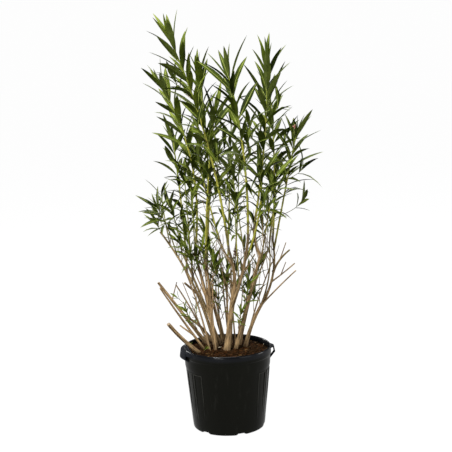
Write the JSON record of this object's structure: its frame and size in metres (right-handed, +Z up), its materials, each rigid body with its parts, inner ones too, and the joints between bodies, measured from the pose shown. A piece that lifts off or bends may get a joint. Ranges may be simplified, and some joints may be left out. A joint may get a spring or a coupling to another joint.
{
  "type": "potted oleander shrub",
  "caption": "Bushy potted oleander with woody canes, upright whorled shoots and narrow leaves, in a tapered nursery pot with side grips.",
  "frame": {"origin": "centre of the pot's flat underside", "axes": "+Z up along the pot's axis, +X towards the right-hand grip, -Y towards the plant's front"},
  "size_m": [0.622, 0.5392, 1.3817],
  "materials": {
    "plastic": "satin black moulded plastic",
    "soil": "loose dark bark compost",
    "bark": "thin grey-brown bark",
    "foliage": "leathery green leaves on yellow-green stems"
  },
  "bodies": {
    "root": {"pot": "plastic", "handle_right": "plastic", "handle_left": "plastic", "soil": "soil", "trunk": "bark", "cane_low_stub": "bark", "cane_thin_left": "bark", "cane_long_cut": "bark", "cane_dead": "bark", "cane_left": "bark", "cane_reach_left": "bark", "cane_mid_left": "bark", "cane_inner": "bark", "cane_back": "bark", "cane_whip": "bark", "cane_behind": "bark", "cane_right": "bark", "cane_small_right": "bark", "cane_far_right": "bark", "fork_tall": "bark", "fork_left": "bark", "bough_centre": "bark", "fork_right_inner": "bark", "fork_right_outer": "bark", "slim_right": "bark", "bough_far_right": "bark", "stub_right_low": "bark", "stub_right_mid": "bark", "stub_right_high": "bark", "slim_far_right": "bark", "twig_centre": "bark", "shoot_tall": "foliage", "shoot_centre": "foliage", "shoot_right": "foliage", "shoot_far_left": "foliage", "shoot_back": "foliage", "shoot_right_back": "foliage", "shoot_far_right": "foliage", "shoot_outer_left": "foliage", "shoot_left_inner": "foliage", "shoot_mid_right": "foliage", "shoot_low_left": "foliage", "spray_outer_left": "foliage", "spray_front_left": "foliage", "spray_left_tall": "foliage", "spray_left_front": "foliage", "spray_left_mid": "foliage", "spray_back_outer": "foliage", "spray_back_inner": "foliage", "spray_centre_front": "foliage", "spray_centre_back": "foliage", "spray_centre": "foliage", "spray_whip": "foliage", "spray_small_right": "foliage", "spray_slim_right": "foliage", "spray_slim_far_right": "foliage", "spray_fork_outer": "foliage", "shoot_behind": "foliage", "shoot_inner": "foliage", "spray_dead_cane": "foliage"}
  },
  "joints": []
}
